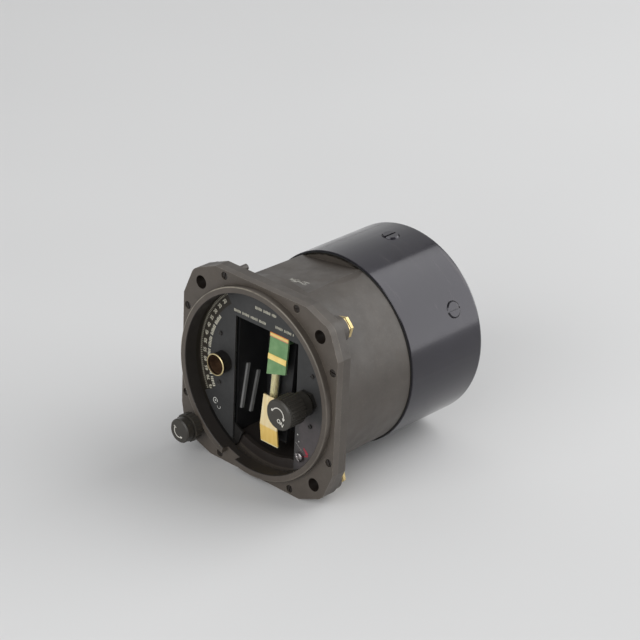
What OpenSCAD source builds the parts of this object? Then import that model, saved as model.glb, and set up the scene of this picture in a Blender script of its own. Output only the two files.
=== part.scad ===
// Carbon monoxide indicator: a panel instrument with a square flange, a round case,
// a recessed dial with a detector tube rack, an ON valve and a scale setting knob.
// X runs to the right seen from the front, Y runs back into the case, Z is up.
// The origin is the centre of the flange's front face, which seats on the panel.

/* [Mounting flange] */
// Distance from the case outwards to the circle of the mounting holes
hole_gap = 4.75; // [4.2:0.05:5.4]
// Diameter of a mounting hole
hole_d = 5.4; // [4:0.1:6.2]
// Distance by which the flange's flat sides stand out from the case
flange_margin = 1.1; // [0.5:0.1:2.5]
// Length of the straight part of each side
side_flat = 48; // [40:0.5:52]
// Radius of the ear round a mounting hole
ear_r = 5.8; // [5:0.1:7]
// Radius of the ear round the setting knob
knob_ear_r = 8; // [7.4:0.1:9]
// Whole thickness of the flange
flange_t = 7; // [6.8:0.1:10]
// Thickness of the bezel plate, the front layer of the flange
bezel_t = 3; // [2.4:0.1:3.2]
// Width over flats of the anchor nut behind a mounting hole
nut_af = 7.8; // [6.6:0.1:8.4]
// Thickness of the anchor nut
nut_t = 3.1; // [2:0.1:5]
// Length of the ear lugs behind the flange
lug_len = 3.3; // [3:0.1:9]

/* [Panel register lip] */
// Step from the outside of the case in to the lip that fits the panel's hole
lip_step = 0.45; // [0.2:0.05:1]
// Wall of the lip, between the panel's hole and the dial recess
lip_wall = 2.75; // [2.4:0.05:3.4]
// Height of the lip above the flange
lip_h = 2.9; // [1.5:0.1:5]
// Width of the locating notch cut in the lip
notch_w = 7; // [3:0.2:12]
// Angle of the locating notch, counter-clockwise from the right
notch_angle = -108; // [-125:1:-95]

/* [Bezel screws] */
// Distance from the lip outwards to the circle of the bezel screws
bezel_screw_gap = 3.65; // [3:0.05:4]
// Angle between a bezel screw and the corner beside it
bezel_screw_angle = 18.7; // [16:0.1:21]
// Head diameter of a bezel screw
bezel_head_d = 3; // [2.4:0.1:3.4]
// Shank diameter of a bezel screw
bezel_shank_d = 1.6; // [1.2:0.1:2]

/* [Case] */
// Outside diameter of the case, over the rear cover
case_d = 79.4; // [79:0.1:81]
// Step from the rear cover down to the front case beside the flange
front_step = 0.3; // [0.1:0.05:0.8]
// Step from the rear cover down to the front case at the seam
seam_step = 0.8; // [0.4:0.05:1.1]
// Distance from the flange's front face to the seam
seam_y = 44.2; // [40:0.2:50]
// Wall of the front case at the seam
case_wall = 4.7; // [4.4:0.1:5]
// Depth of the flat on the top of the case
top_flat_depth = 3.1; // [1.8:0.1:3.3]
// Lean of that flat to the left
top_flat_angle = 7.7; // [0:0.1:12]
// Where the flat starts behind the flange's front face
top_flat_y = 14; // [13:0.5:25]
// Length of the spigot that centres the rear cover
spigot_len = 5.8; // [4:0.1:8]
// Radial gap between the spigot and the rear cover's bore
spigot_clearance = 0.2; // [0.1:0.05:0.4]

/* [Rear cover] */
// Distance from the flange's front face to the rear end of the cover
cover_end_y = 86.4; // [86:0.2:100]
// Wall of the rear cover
cover_wall = 1.4; // [1.1:0.05:1.6]
// Radius of the rounded rear edge
cover_edge_r = 1.8; // [1.7:0.1:4]
// Thickness of the seam gasket
gasket_t = 0.5; // [0.3:0.1:1]
// Angle between the upper cover screws
cover_screw_step = 60; // [52:1:68]
// Distance of the cover screws in front of the rear end of the cover
cover_screw_gap = 13.4; // [11:0.2:16]
// Head diameter of a cover screw
cover_head_d = 7; // [5:0.1:8]
// Height of a cover screw's head above the cover
cover_head_h = 0.5; // [0.3:0.1:0.8]
// Shank diameter of a cover screw
cover_shank_d = 3; // [2:0.1:3.6]

/* [Dial] */
// Distance from the flange's front face back to the dial
dial_y = 4.4; // [4.3:0.1:5]
// Thickness of the dial plate
dial_t = 0.8; // [0.6:0.1:1.3]
// Width of each of the dial's two legs, from the recess to the window between them
leg_w = 19.9; // [19:0.1:21.5]
// Height of the dial's top part, from the recess down to that window
top_bar = 15.3; // [15:0.1:18]
// Distance of the inlet and of the valve from the side of the window
port_gap = 5.9; // [5.8:0.05:6.3]
// Distance of the inlet and of the valve below the axis
port_drop = 0.8; // [0:0.1:1.2]
// Distance of the dial screws from the side of the window
dial_screw_gap = 7.9; // [7.2:0.1:8.4]
// Distance of the dial screws above and below the axis
dial_screw_z = 10.7; // [10:0.1:12]
// Diameter of a dial screw's head
dial_head_d = 1.8; // [1.6:0.1:2.6]
// Distance of the sealed adjusting screw inside the recess
adjust_gap = 4.1; // [3.8:0.1:4.6]
// Distance of the sealed adjusting screw from the side of the window
adjust_side = 3.3; // [3.2:0.1:4]
// Head diameter of the adjusting screw
adjust_head_d = 4; // [3:0.1:4.6]

/* [Scale and setting gear] */
// Tooth module of the scale sector and the pinion
gear_module = 0.7; // [0.66:0.01:0.72]
// Distance of the sector's pitch circle outside the recess
gear_step = 2; // [1.9:0.05:2.2]
// Teeth of the setting pinion
pinion_teeth = 14; // [13:1:14]
// Width of the printed band of the scale, inside the recess
band_w = 5.5; // [4.6:0.1:5.8]
// Travel of the sector each way
scale_travel = 20; // [10:1:20]
// First angle of the reading window in the dial
read_from = 127; // [122:1:135]
// Last angle of the reading window in the dial
read_to = 208; // [195:1:210]
// Angle at which the setting knob stands
knob_angle = 223.7; // [222:0.1:226]
// Play between the teeth, measured along the pitch circle
backlash = 0.16; // [0.1:0.01:0.25]

/* [Knobs] */
// Diameter of the valve knob
valve_knob_d = 12.5; // [10:0.1:13]
// Distance that the valve knob stands in front of the flange face
valve_knob_front = 11.7; // [9:0.1:14]
// Number of grip flutes on the valve knob
flute_n = 24; // [12:1:32]
// Depth of a grip flute
flute_depth = 0.35; // [0.1:0.05:0.5]
// Diameter of the setting knob's cap
set_cap_d = 10; // [8:0.1:11]
// Diameter of the setting knob's neck, which passes the lip
set_neck_d = 7.4; // [6.4:0.1:7.6]
// Diameter of the setting knob's grip
set_grip_d = 11.6; // [10:0.1:12.4]
// Distance that the setting knob stands in front of the flange face
set_knob_front = 10.5; // [8:0.1:13]
// Diameter of both knob shafts
shaft_d = 4; // [3:0.1:4.4]
// Radial running clearance of the shafts and the valve rotor
running_gap = 0.05; // [0.03:0.01:0.08]

/* [Air inlet] */
// Outside diameter of the inlet tube on the dial
inlet_od = 8.8; // [8:0.1:9.6]
// Wall of the inlet tube
inlet_wall = 0.5; // [0.4:0.05:1.5]
// Place of the inlet's mouth, in front of the flange face
inlet_front = 0.4; // [0:0.1:2]
// Overhang of the brass rim over the tube
inlet_rim = 0.2; // [0.1:0.05:0.6]

/* [Tube rack] */
// Depth of the black pocket behind the dial
pocket_depth = 17.5; // [16:0.5:21]
// Wall of the pocket
pocket_wall = 1.2; // [0.8:0.1:1.4]
// Distance of the pocket's lower edge above the bottom of the recess
pocket_gap = 6.5; // [6.1:0.1:8]
// Backward lean of the rack and its card, from upright
rack_lean = 5.3; // [3:0.1:7]
// Distance from the flange's front face to the foot of the card
rack_y = 7.4; // [7:0.1:8.4]
// Width of the colour card
card_w = 9.6; // [8:0.1:11]
// Thickness of the colour card
card_t = 0.8; // [0.5:0.1:1.2]
// Height of the colour card at its right edge
card_h = 19.1; // [17:0.1:21]
// Amount by which the card's lower edge drops to the left
card_slant = 2.8; // [0:0.1:3.4]
// Height of the amber strip on the card
amber_h = 2.3; // [1:0.1:3]
// Height of the orange band on the card
orange_h = 4.6; // [3:0.1:5]
// Outside diameter of the glass detector tube
tube_d = 4.2; // [3:0.1:4.4]
// Wall of the glass detector tube
glass_wall = 0.5; // [0.3:0.05:0.7]
// Sideways place of the detector tube, left of the centre line
tube_x = 2.6; // [2.2:0.1:2.8]
// Width of the brass tube clip
clip_w = 9.1; // [8.4:0.1:10]
// Height of the clip's pull tab
tab_h = 7.7; // [5:0.1:8]
// Height of the whole clip, with its tab
clip_len = 20.4; // [18:0.1:22]
// Lean of the clip beyond that of the rack
clip_lean = 1.6; // [0:0.1:2]
// Thickness of the clip's brass sheet
clip_t = 0.6; // [0.4:0.1:0.8]

/* [Inner frame] */
// Thickness of the frame plate behind the dial
frame_t = 1.6; // [1.2:0.1:2]
// Distance of the frame pillars inside the bore of the front case
pillar_gap = 3; // [2.8:0.1:3.2]
// Diameter of a frame pillar
pillar_d = 4.8; // [4:0.1:5]
// Thickness of the bulkhead plate
bulkhead_t = 2; // [1.5:0.1:2.4]
// Diameter of the tie rods between bulkhead and rear ring
tie_rod_d = 3.6; // [3:0.1:4]
// Length of the rear ring that takes the cover screws
rear_ring_len = 10; // [8:0.5:12]
// Wall of the rear ring
rear_ring_wall = 4.6; // [4.4:0.1:4.8]

/* [Filter and pipes] */
// Gap between the canister's cap and the rear ring
canister_gap = 0.2; // [0.2:0.1:2]
// Gap between the canister's cap and the rear cover
canister_end_gap = 2.35; // [1:0.05:5]
// Step from the canister in to its stand-off ring
standoff_step = 7.6; // [6.6:0.1:9]
// Diameter of the air pipes
pipe_d = 3; // [2.4:0.1:3.4]
// Bore of the air pipes
pipe_bore = 1.8; // [1:0.1:2]
// Distance of the suction union inside the wall of the rear cover
union_gap = 11.3; // [10.4:0.1:11.8]
// Diameter of the suction union's hose spigot
union_d = 8; // [6:0.1:9]
// Length of that spigot behind its hexagon
union_len = 5; // [4:0.5:12]
// Bore of the suction union
union_bore = 4; // [2:0.1:5]

/* [Hidden] */

// Resolution of turned and drilled forms
round_fn = 96;
drill_fn = 32;
// Gap between parts that sit together without moving
fit = 0.05;
// Gap between parts that pass each other
clear = 0.3;
// Amount by which a cutter runs past the face that it cuts
over = 1;

// Places that follow from the driving sizes
cover_r = case_d / 2;
cover_in = cover_r - cover_wall;
front_r = cover_r - front_step;
seam_r = cover_r - seam_step;
case_in = seam_r - case_wall;
lip_r = cover_r - lip_step;
recess_r = lip_r - lip_wall;
reach = case_d;
hole_r = hole_d / 2;
hole_at = (cover_r + hole_gap) * cos(45);
flange_half = cover_r + flange_margin;
bezel_screw_circle = lip_r + bezel_screw_gap;
scale_teeth = round(2 * (recess_r + gear_step) / gear_module);
scale_inner_r = recess_r - band_w;
pitch_scale = gear_module * scale_teeth / 2;
pitch_pinion = gear_module * pinion_teeth / 2;
knob_r = pitch_scale + pitch_pinion;
knob_x = knob_r * cos(knob_angle);
knob_z = knob_r * sin(knob_angle);
scale_from = read_from - scale_travel - 2.6;
scale_to = knob_angle + scale_travel + 3.3;
shaft_r = shaft_d / 2;
bush_r = shaft_r + 1.4;
bush_flange_r = set_neck_d / 2 + 0.1;
bush_flange_t = 0.8;
knob_holes = [[-hole_at, hole_at], [hole_at, hole_at], [hole_at, -hole_at]];

// The groove for the gear rim lies between the bezel plate and the case flange
gear_y = bezel_t + 0.2;
gear_t = 1.1;
tooth_add = 0.75 * gear_module;
tooth_ded = 0.95 * gear_module;
groove_r = pitch_scale + tooth_add + 0.5;
groove_y = gear_y + gear_t + clear;
band_y = dial_y + dial_t + 0.2;
band_t = 0.8;
step_in = recess_r + 0.55;
step_out = step_in + 0.7;
throat_r = step_out + clear;
throat_y = band_y + band_t + clear;
ledge_r = case_in - 1.4;
ledge_y = throat_y + 2.1;

// Frame stations along the depth
frame_y = ledge_y;
frame_back = frame_y + frame_t;
spigot_r = cover_in - spigot_clearance;
spigot_y = seam_y + spigot_len;
bulkhead_y = spigot_y + fit;
bulkhead_back = bulkhead_y + bulkhead_t;
bulkhead_r = spigot_r - 0.6;
cover_y = seam_y + gasket_t;
cover_screw_y = cover_end_y - cover_screw_gap;
ring_out = cover_in - clear;
ring_in = ring_out - rear_ring_wall;
ring_y = cover_screw_y - rear_ring_len / 2;
rod_circle = ring_out - rear_ring_wall / 2;
cover_screw_angles = [90 - cover_screw_step, 90, 90 + cover_screw_step, 270];
can_x = -7;
can_z = 8.5;
can_r = ring_in - norm([can_x, can_z]) - 0.6 - canister_gap;
stand_r = can_r - standoff_step;
stand_t = 2;
cap_t = 3;
can_y = bulkhead_back + stand_t;
can_end = cover_end_y - cover_wall - canister_end_gap - cap_t - 0.6;
pillar_at = (case_in - pillar_gap) * cos(45);

// Pocket and rack
window_half = recess_r - leg_w;
window_top = recess_r - top_bar;
pocket_low = recess_r - pocket_gap;
pocket_half = window_half - 0.2;
pocket_y = throat_y;
pocket_back = pocket_y + pocket_depth;
pocket_top = window_top + 0.8;
rack_low = pocket_low - 0.2;
rack_t = 1.6;
rack_w = 8.8;
rack_len = window_top + rack_low + 3;
card_top = window_top + rack_low - 0.5;
card_low = card_top - card_h;
amber_low = card_top - 15.35;
orange_low = card_top - 5.9;
tube_r = tube_d / 2;
tube_low = 12;
tube_axis = card_t + tube_r + 0.1;
rack_depth = tube_axis + tube_r + 0.2;
clip_front = card_t - clip_t - 1.3;
strip_t = 0.25;
head_z = pocket_top + pocket_wall + fit;
pipe_z = head_z + 4.4;
foot_z = -(rack_low - 15);
rail_t = 1.4;
rail_len = 17.4;

// Inlet, valve and the other pieces on the dial
port_x = window_half + port_gap;
port_z = -port_drop;
dial_screw_x = window_half + dial_screw_gap;
adjust_x = window_half + adjust_side;
adjust_z = -sqrt(pow(recess_r - adjust_gap, 2) - pow(adjust_x, 2));
inlet_r = inlet_od / 2;
inlet_in = inlet_r - inlet_wall;
union_x = cover_in - union_gap;
valve_r = port_x - pocket_half - pocket_wall - 0.2;
rotor_r = valve_r - 1.3;
valve_y = frame_back + fit;
valve_len = 15;
valve_low = pillar_at - pillar_d / 2 - 1.4;
cross_y = valve_y + 5.5;
inlet_back = frame_back + 2;

// A flat shape drawn in X and Z, made solid from y0 back to y1
module plate(y0, y1) {
    translate([0, y1, 0]) rotate([90, 0, 0]) linear_extrude(y1 - y0) children();
}

// A round bar or drill along the depth
module bar(x, z, r, y0, y1, fn = drill_fn) {
    translate([x, y1, z]) rotate([90, 0, 0]) cylinder(h = y1 - y0, r = r, $fn = fn);
}

// A ring or tube along the depth
module sleeve(x, z, r_out, r_in, y0, y1, fn = round_fn) {
    difference() {
        bar(x, z, r_out, y0, y1, fn);
        bar(x, z, r_in, y0 - over, y1 + over, fn);
    }
}

// A profile of radius and depth, turned about the case axis
module turned(fn = round_fn) {
    rotate([-90, 0, 0]) rotate_extrude($fn = fn) children();
}

// Points of an arc, from angle a0 to a1
function arc(cx, cz, r, a0, a1, n) =
    [for (i = [0:n]) [cx + r * cos(a0 + (a1 - a0) * i / n), cz + r * sin(a0 + (a1 - a0) * i / n)]];

// The point where a line from p touches a circle round c, on the given side
function touch(p, c, r, side) =
    let (d = c - p, l = norm(d), a = atan2(d[1], d[0]) + side * asin(r / l))
    p + sqrt(l * l - r * r) * [cos(a), sin(a)];

// One flange corner, from side point pa round its ear to side point pb
function corner(pa, pb, c, r, n = 10) =
    let (t1 = touch(pa, c, r, -1) - c, t2 = touch(pb, c, r, 1) - c,
        a0 = atan2(t1[1], t1[0]), a1 = atan2(t2[1], t2[0]))
    concat([pa], arc(c[0], c[1], r, a0, a1 < a0 ? a1 + 360 : a1, n), [pb]);

// A sector of a disc, used as a window or a limit
module sector(r, a0, a1, n = 24) {
    polygon(concat([[0, 0]], arc(0, 0, r, a0, a1, n)));
}

// Outline of the flange: four flat sides, three screw ears and the knob's ear
module flange_outline() {
    h = flange_half;
    s = side_flat / 2;
    polygon(concat(
        corner([h, s], [s, h], [hole_at, hole_at], ear_r),
        corner([-s, h], [-h, s], [-hole_at, hole_at], ear_r),
        corner([-h, -s], [-s, -h], [knob_x, knob_z], knob_ear_r),
        corner([s, -h], [h, -s], [hole_at, -hole_at], ear_r)));
}

// The eight bezel screws stand in pairs beside the corners
module at_bezel_screws() {
    for (k = [0:3], s = [-1, 1])
        rotate([0, -(45 + 90 * k + s * bezel_screw_angle), 0])
            translate([bezel_screw_circle, 0, 0]) children();
}

module at_pillars() {
    for (sx = [-1, 1], sz = [-1, 1])
        translate([sx * pillar_at, 0, sz * pillar_at]) children();
}

module at_dial_screws() {
    for (sx = [-1, 1], sz = [-1, 1])
        translate([sx * dial_screw_x, 0, sz * dial_screw_z]) children();
}

// Front layer of the flange, with the lip that centres the instrument in its panel
module bezel_ring() {
    color([0.24, 0.22, 0.19]) difference() {
        union() {
            plate(0, bezel_t) flange_outline();
            turned() polygon(concat(
                [[recess_r, 0.5], [lip_r, 0.5]],
                arc(lip_r - 0.5, -lip_h + 0.5, 0.5, 0, -90, 4),
                arc(recess_r + 0.4, -lip_h + 0.4, 0.4, -90, -180, 4)));
        }
        bar(0, 0, recess_r, -lip_h - over, bezel_t + over, round_fn);
        for (h = knob_holes) bar(h[0], h[1], hole_r, -over, bezel_t + over);
        bar(knob_x, knob_z, bush_r + fit, -over, bezel_t + over);
        bar(knob_x, knob_z, bush_flange_r + 0.15, -over, bush_flange_t, 48);
        at_bezel_screws() bezel_screw_hole();
        rotate([0, -notch_angle, 0]) translate([recess_r - over, -lip_h - over, -notch_w / 2])
            cube([lip_wall + 2 * over, lip_h + over, notch_w]);
    }
}

module bezel_screw_hole() {
    bar(0, 0, bezel_head_d / 2 + 0.15, -over, 1.5);
    bar(0, 0, bezel_shank_d / 2 + fit, -over, flange_t - 1.1);
}

// Fillister heads sunk in the bezel, with a driver slot
module bezel_screws() {
    color([0.16, 0.15, 0.14]) at_bezel_screws() difference() {
        union() {
            bar(0, 0, bezel_head_d / 2, 0.4, 1.5, 24);
            bar(0, 0, bezel_shank_d / 2, 1.4, flange_t - 1.6, 20);
        }
        rotate([0, 35, 0]) translate([-bezel_head_d, 0.4 - over, -0.25])
            cube([2 * bezel_head_d, over + 0.5, 0.5]);
    }
}

// Ear lug behind a mounting hole, joined to the case by its web
module lug(h) {
    half = ear_r - 0.6;
    plate(flange_t - fit, flange_t + lug_len) difference() {
        rotate(atan2(h[1], h[0])) polygon(concat([[case_in + 1, half], [case_in + 1, -half]],
            arc(norm(h), 0, half, -90, 90, 16)));
        translate(h) circle(r = hole_r, $fn = drill_fn);
    }
}

// Cast front case: rear layer of the flange, lugs, barrel and spigot in one piece
module front_case() {
    color([0.25, 0.23, 0.20]) difference() {
        union() {
            difference() {
                plate(bezel_t, flange_t) flange_outline();
                bar(0, 0, ledge_r, bezel_t - over, flange_t + over, round_fn);
            }
            turned() polygon([[throat_r + 0.2, flange_t - 1], [front_r + 1.2, flange_t - 1],
                [front_r + 1.2, flange_t], [front_r, flange_t + 1.2], [seam_r, seam_y],
                [spigot_r, seam_y], [spigot_r, spigot_y - 0.5], [spigot_r - 0.5, spigot_y],
                [case_in, spigot_y], [case_in, ledge_y], [ledge_r, ledge_y],
                [ledge_r, throat_y], [throat_r + 0.2, throat_y]]);
            for (h = knob_holes) lug(h);
            bar(knob_x, knob_z, shaft_r + 2, flange_t - fit, flange_t + 3);
            rotate([0, bezel_screw_angle - 135, 0]) bar(bezel_screw_circle, 0, 1.3, flange_t - fit,
                flange_t + 4.8);
            at_pillars() bar(0, 0, 3.1, throat_y, ledge_y);
        }
        bar(0, 0, recess_r, bezel_t - over, band_y, round_fn);
        bar(0, 0, groove_r, bezel_t - over, groove_y, round_fn);
        bar(0, 0, throat_r, bezel_t - over, throat_y, round_fn);
        bar(knob_x, knob_z, pitch_pinion + tooth_add + 0.5, bezel_t - over, groove_y);
        bar(knob_x, knob_z, shaft_r + running_gap, bezel_t, flange_t + 3 + over);
        for (h = knob_holes) bar(h[0], h[1], hole_r, bezel_t - over, flange_t + lug_len + over);
        at_bezel_screws() bezel_screw_hole();
        translate([-pocket_half - pocket_wall - clear, throat_y - over, -pocket_low - clear])
            cube([2 * (pocket_half + pocket_wall + clear), pocket_depth + 2 * over, pocket_low]);
        at_pillars() bar(0, 0, 1.25, throat_y - over, ledge_y + over);
        bar(adjust_x, adjust_z, 1.1 + fit, throat_y - over, ledge_y + over);
        rotate([0, -top_flat_angle, 0]) translate([-reach / 2, top_flat_y, seam_r - top_flat_depth])
            cube([reach, seam_y - top_flat_y, reach]);
    }
}

// Hexagonal brass nut behind each mounting ear, with a saw cut that locks it
module anchor_nuts() {
    color([0.72, 0.60, 0.30]) for (h = knob_holes)
        translate([h[0], flange_t + lug_len, h[1]]) rotate([0, -atan2(h[1], h[0]), 0]) difference() {
            rotate([0, 30, 0]) plate(0, nut_t) circle(d = nut_af / cos(30), $fn = 6);
            bar(0, 0, hole_r - 0.6, -over, nut_t + over, 30);
            translate([0.8, nut_t / 2 - 0.2, -nut_af]) cube([nut_af, 0.4, 2 * nut_af]);
        }
}

// Gasket in the seam
module seam_gasket() {
    color([0.05, 0.05, 0.05])
        sleeve(0, 0, seam_r + 0.3, spigot_r + fit, seam_y, seam_y + gasket_t);
}

// Radial places of the cover screws
module at_cover_screws() {
    for (a = cover_screw_angles)
        rotate([0, -a, 0]) translate([cover_r, cover_screw_y, 0]) rotate([0, 90, 0]) children();
}

// Drawn rear cover with a rounded rear edge
module rear_cover() {
    color([0.05, 0.05, 0.06]) difference() {
        turned(128) polygon(concat(
            [[cover_in, cover_y], [cover_r - 0.3, cover_y], [cover_r, cover_y + 0.3]],
            arc(cover_r - cover_edge_r, cover_end_y - cover_edge_r, cover_edge_r, 0, 90, 8),
            [[0, cover_end_y], [0, cover_end_y - cover_wall]],
            arc(cover_r - cover_edge_r, cover_end_y - cover_edge_r, cover_edge_r - cover_wall, 90, 0, 4)));
        at_cover_screws() {
            translate([0, 0, -0.5]) cylinder(h = 3, d = cover_head_d + 0.2, $fn = 36);
            translate([0, 0, -4]) cylinder(h = 6, d = cover_shank_d + 0.2, $fn = 24);
        }
        bar(union_x, port_z, union_d / 2 + 1 + fit, cover_end_y - 4, cover_end_y + over);
    }
}

// Slotted screws that hold the cover to the rear ring
module cover_screws() {
    color([0.09, 0.09, 0.10]) at_cover_screws() difference() {
        union() {
            translate([0, 0, -0.5]) cylinder(h = 0.5 + cover_head_h, d1 = cover_head_d,
                d2 = cover_head_d - 1, $fn = 36);
            translate([0, 0, -5]) cylinder(h = 5, d = cover_shank_d, $fn = 24);
        }
        translate([-0.45, -cover_head_d, cover_head_h - 0.7])
            cube([0.9, 2 * cover_head_d, 1]);
    }
}

// Suction union with a hexagon outside the cover and a collar inside
module rear_union() {
    color([0.62, 0.52, 0.28]) difference() {
        union() {
            bar(union_x, port_z, union_d / 2 + 1, cover_end_y - 5.4, cover_end_y);
            translate([union_x, 0, port_z]) plate(cover_end_y, cover_end_y + 3)
                circle(r = union_d / 2 + 3, $fn = 6);
            bar(union_x, port_z, union_d / 2, cover_end_y, cover_end_y + 3 + union_len);
        }
        bar(union_x, port_z, union_bore / 2, cover_end_y - 2.4, cover_end_y + 3 + union_len + over);
        bar(union_x, port_z, pipe_d / 2 + fit, cover_end_y - 5.4 - over, cover_end_y - 2.4);
    }
}

// Lock nut of the union, inside the cover
module union_nut() {
    color([0.62, 0.52, 0.28]) difference() {
        translate([union_x, 0, port_z]) plate(cover_end_y - cover_wall - 2.2, cover_end_y - cover_wall)
            circle(r = union_d / 2 + 3, $fn = 6);
        bar(union_x, port_z, union_d / 2 + 1 + fit, cover_end_y - 9, cover_end_y);
    }
}

// Dial plate: an inverted U with a curved reading window at the left
module dial_plate() {
    color([0.13, 0.14, 0.15]) difference() {
        plate(dial_y, dial_y + dial_t) difference() {
            circle(r = recess_r + 0.25, $fn = round_fn);
            translate([-window_half, -reach]) square([2 * window_half, reach + window_top]);
            difference() {
                sector(reach, read_from, read_to);
                circle(r = scale_inner_r + 0.5, $fn = round_fn);
            }
        }
        bar(-port_x, port_z, inlet_r + fit, dial_y - over, dial_y + 3);
        bar(port_x, port_z, bush_r + fit, dial_y - over, dial_y + 3);
        at_dial_screws() bar(0, 0, 0.55 + fit, dial_y - over, dial_y + 3);
        bar(adjust_x, adjust_z, 1.1 + fit, dial_y - over, dial_y + 3);
    }
}

// Posts that carry the dial on the frame plate
module dial_posts() {
    color([0.60, 0.52, 0.30]) at_dial_screws()
        sleeve(0, 0, 1.9, 0.55 + fit, dial_y + dial_t, frame_y, 24);
}

module dial_screws() {
    color([0.20, 0.20, 0.21]) at_dial_screws() difference() {
        union() {
            bar(0, 0, dial_head_d / 2, dial_y - 0.6, dial_y, 24);
            bar(0, 0, 0.55, dial_y - 0.1, dial_y + 3.4, 20);
        }
        rotate([0, 20, 0]) translate([-dial_head_d, dial_y - 0.6 - over, -0.15])
            cube([2 * dial_head_d, over + 0.3, 0.3]);
    }
}

// Slotted adjusting screw, sealed with paint
module adjust_screw() {
    color([0.66, 0.66, 0.67]) difference() {
        union() {
            bar(adjust_x, adjust_z, adjust_head_d / 2, dial_y - 1.1, dial_y);
            bar(adjust_x, adjust_z, 1.1, dial_y - 0.1, ledge_y);
        }
        translate([adjust_x, dial_y - 1.1, adjust_z]) rotate([0, 60, 0])
            translate([-5, -over, -0.35]) cube([10, over + 0.5, 0.7]);
    }
}

// Involute angle, in degrees, where the involute reaches radius r
function inv_at(r, rb) = r <= rb ? 0 : sqrt(pow(r / rb, 2) - 1) * 180 / PI - acos(rb / r);

// Outline points of one involute tooth, centred on the angle a
function tooth(a, teeth, r_root, r_tip) =
    let (rp = gear_module * teeth / 2, rb = rp * cos(20), n = 4,
        half = 90 / teeth - backlash / 2 / rp * 90 / PI + inv_at(rp, rb))
    concat(r_root < rb ? [[r_root * cos(a - half), r_root * sin(a - half)]] : [],
        [for (i = [0:n]) let (r = max(rb, r_root) + (r_tip - max(rb, r_root)) * i / n,
            b = a - half + inv_at(r, rb)) [r * cos(b), r * sin(b)]],
        [for (i = [n:-1:0]) let (r = max(rb, r_root) + (r_tip - max(rb, r_root)) * i / n,
            b = a + half - inv_at(r, rb)) [r * cos(b), r * sin(b)]],
        r_root < rb ? [[r_root * cos(a + half), r_root * sin(a + half)]] : []);

// Toothed sector whose stepped band carries the scale behind the reading window
module scale_sector() {
    pitch_angle = 360 / scale_teeth;
    first = knob_angle - 0.5 * pitch_angle;
    low = ceil((scale_from - first) / pitch_angle + 0.6);
    high = floor((scale_to - first) / pitch_angle - 0.6);
    root = pitch_scale - tooth_ded;
    color([0.20, 0.17, 0.13]) union() {
        plate(gear_y, gear_y + gear_t) polygon(concat(
            arc(0, 0, (step_in + step_out) / 2, scale_to, scale_from, 48),
            arc(0, 0, root, scale_from, first + (low - 0.5) * pitch_angle, 2),
            [for (k = [low:high]) each tooth(first + k * pitch_angle, scale_teeth, root,
                pitch_scale + tooth_add)],
            arc(0, 0, root, first + (high + 0.5) * pitch_angle, scale_to, 2)));
        plate(gear_y, band_y + band_t) intersection() {
            difference() {
                circle(r = step_out, $fn = round_fn);
                circle(r = step_in, $fn = round_fn);
            }
            sector(reach, scale_from, scale_to);
        }
        plate(band_y, band_y + band_t) intersection() {
            difference() {
                circle(r = step_out, $fn = round_fn);
                circle(r = scale_inner_r, $fn = round_fn);
            }
            sector(reach, scale_from, scale_to);
        }
    }
}

// Pinion on the setting shaft, in mesh with the sector
module set_pinion() {
    color([0.66, 0.55, 0.30]) translate([knob_x, 0, knob_z]) difference() {
        plate(gear_y, gear_y + gear_t) polygon([for (k = [0:pinion_teeth - 1])
            each tooth(knob_angle + 180 + 360 * k / pinion_teeth, pinion_teeth,
                pitch_pinion - tooth_ded, pitch_pinion + tooth_add)]);
        bar(0, 0, shaft_r - 0.6, gear_y - over, gear_y + gear_t + over);
    }
}

// Setting shaft, stepped down where it carries the pinion
module set_shaft() {
    color([0.55, 0.55, 0.56]) union() {
        bar(knob_x, knob_z, shaft_r, -set_knob_front + 2.5, gear_y);
        bar(knob_x, knob_z, shaft_r - 0.6, gear_y - 0.1, gear_y + gear_t + 0.1);
        bar(knob_x, knob_z, shaft_r, gear_y + gear_t, flange_t + 2.6);
    }
}

// Setting knob: a capped grip with a groove between cap and grip
module set_knob() {
    cap = set_cap_d / 2;
    grip = set_grip_d / 2;
    front = -set_knob_front;
    color([0.08, 0.08, 0.08]) translate([knob_x, 0, knob_z]) difference() {
        union() {
            turned(64) polygon([[0, front], [cap - 0.5, front], [cap, front + 0.5],
                [cap, front + 3.2], [cap - 0.6, front + 3.5], [cap - 0.6, front + 4.1],
                [grip - 0.8, front + 4.1], [0, front + 4.1]]);
            plate(front + 4, -lip_h - clear) grip_outline(grip, 20, 0.25);
            bar(0, 0, set_neck_d / 2, -lip_h - clear - 0.1, -clear);
        }
        bar(0, 0, shaft_r, front + 2.5, 1);
    }
}

// Outline of a fluted grip
module grip_outline(r, n, depth) {
    polygon([for (i = [0:4 * n - 1]) let (a = 90 * i / n, q = r - depth * (i % 4 == 0 ? 1 :
        i % 4 == 2 ? 0 : 0.35)) [q * cos(a), q * sin(a)]]);
}

// Flanged bush of the setting shaft, sunk flush in the bezel
module set_bush() {
    color([0.60, 0.50, 0.28]) translate([knob_x, 0, knob_z]) difference() {
        union() {
            bar(0, 0, bush_r, 0, bezel_t);
            bar(0, 0, bush_flange_r, 0, bush_flange_t, 48);
        }
        bar(0, 0, shaft_r + running_gap, -over, bezel_t + over);
    }
}

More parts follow.
